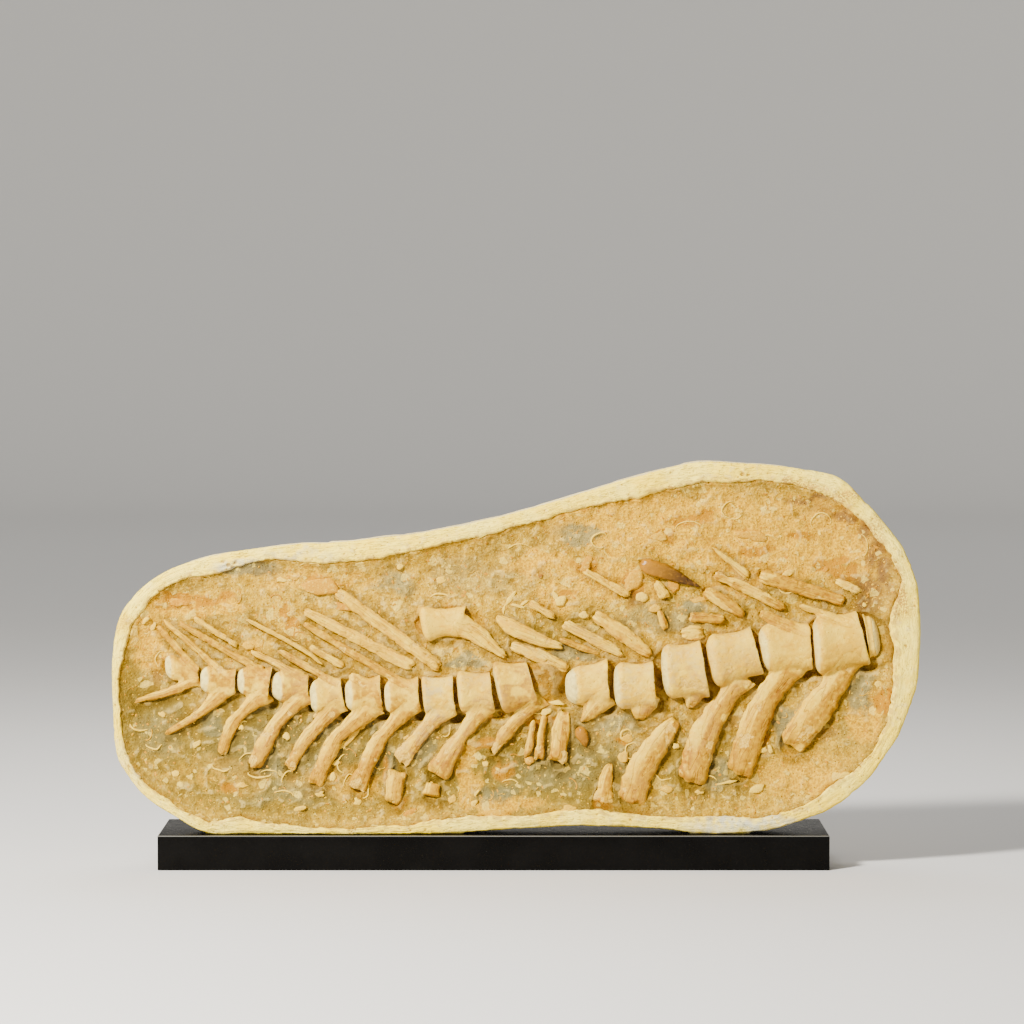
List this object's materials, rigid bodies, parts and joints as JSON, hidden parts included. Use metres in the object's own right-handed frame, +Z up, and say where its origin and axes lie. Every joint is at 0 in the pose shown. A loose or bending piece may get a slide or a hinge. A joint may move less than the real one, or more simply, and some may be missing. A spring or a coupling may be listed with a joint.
{
  "type": "fossil mosasaur tail section",
  "caption": "Articulated fossil tail vertebrae of a marine reptile with loose bones in sandy rock, in a cream plaster jacket that stands on edge on a flat black display base.",
  "frame": {"origin": "middle of the outline seen from above, at the level of the surface that the stand rests on", "axes": "+X along the slab towards the body end of the tail, +Y from the slab's face to its back, +Z up"},
  "size_m": [0.8104, 0.134, 0.4095],
  "materials": {
    "black_gloss": "black high gloss with a fine bright line along the top front edge",
    "plaster": "cream field plaster, matt, pitted and lightly smeared with rock",
    "rock": "sandy phosphate rock, tan with ochre and grey patches, matt and grainy",
    "bone": "fossil bone, cream with honey and orange stains, dull satin",
    "stained_bone": "fossil bone stained yellow-orange, dull satin",
    "enamel": "brown tooth enamel, smooth and shiny"
  },
  "bodies": {
    "root": {"stand_base": "black_gloss", "plaster_jacket": "plaster", "matrix": "rock", "tail_tip": "bone", "tail_rear": "bone", "tail_middle": "bone", "tail_fore": "bone", "tail_root_rear": "bone", "tail_root_front": "bone", "displaced_vertebra": "bone", "loose_spine_1": "bone", "loose_spine_2": "bone", "loose_spine_3": "bone", "loose_spine_4": "bone", "loose_spine_5": "bone", "loose_spine_6": "bone", "loose_spine_7": "bone", "loose_spine_8": "bone", "loose_spine_9": "bone", "loose_spine_10": "bone", "loose_spine_11": "bone", "loose_spine_12": "bone", "loose_spine_13": "bone", "loose_spine_14": "bone", "loose_spine_15": "bone", "loose_spine_16": "bone", "loose_spine_17": "stained_bone", "loose_spine_18": "bone", "bone_chip": "bone", "bone_wedge": "bone", "bone_knob": "stained_bone", "haemal_piece_1": "bone", "haemal_piece_2": "bone", "haemal_piece_3": "bone", "haemal_piece_4": "stained_bone", "haemal_piece_5": "stained_bone", "haemal_piece_6": "bone", "haemal_piece_7": "bone", "fish_fang": "enamel", "fish_tooth": "enamel"}
  },
  "joints": []
}
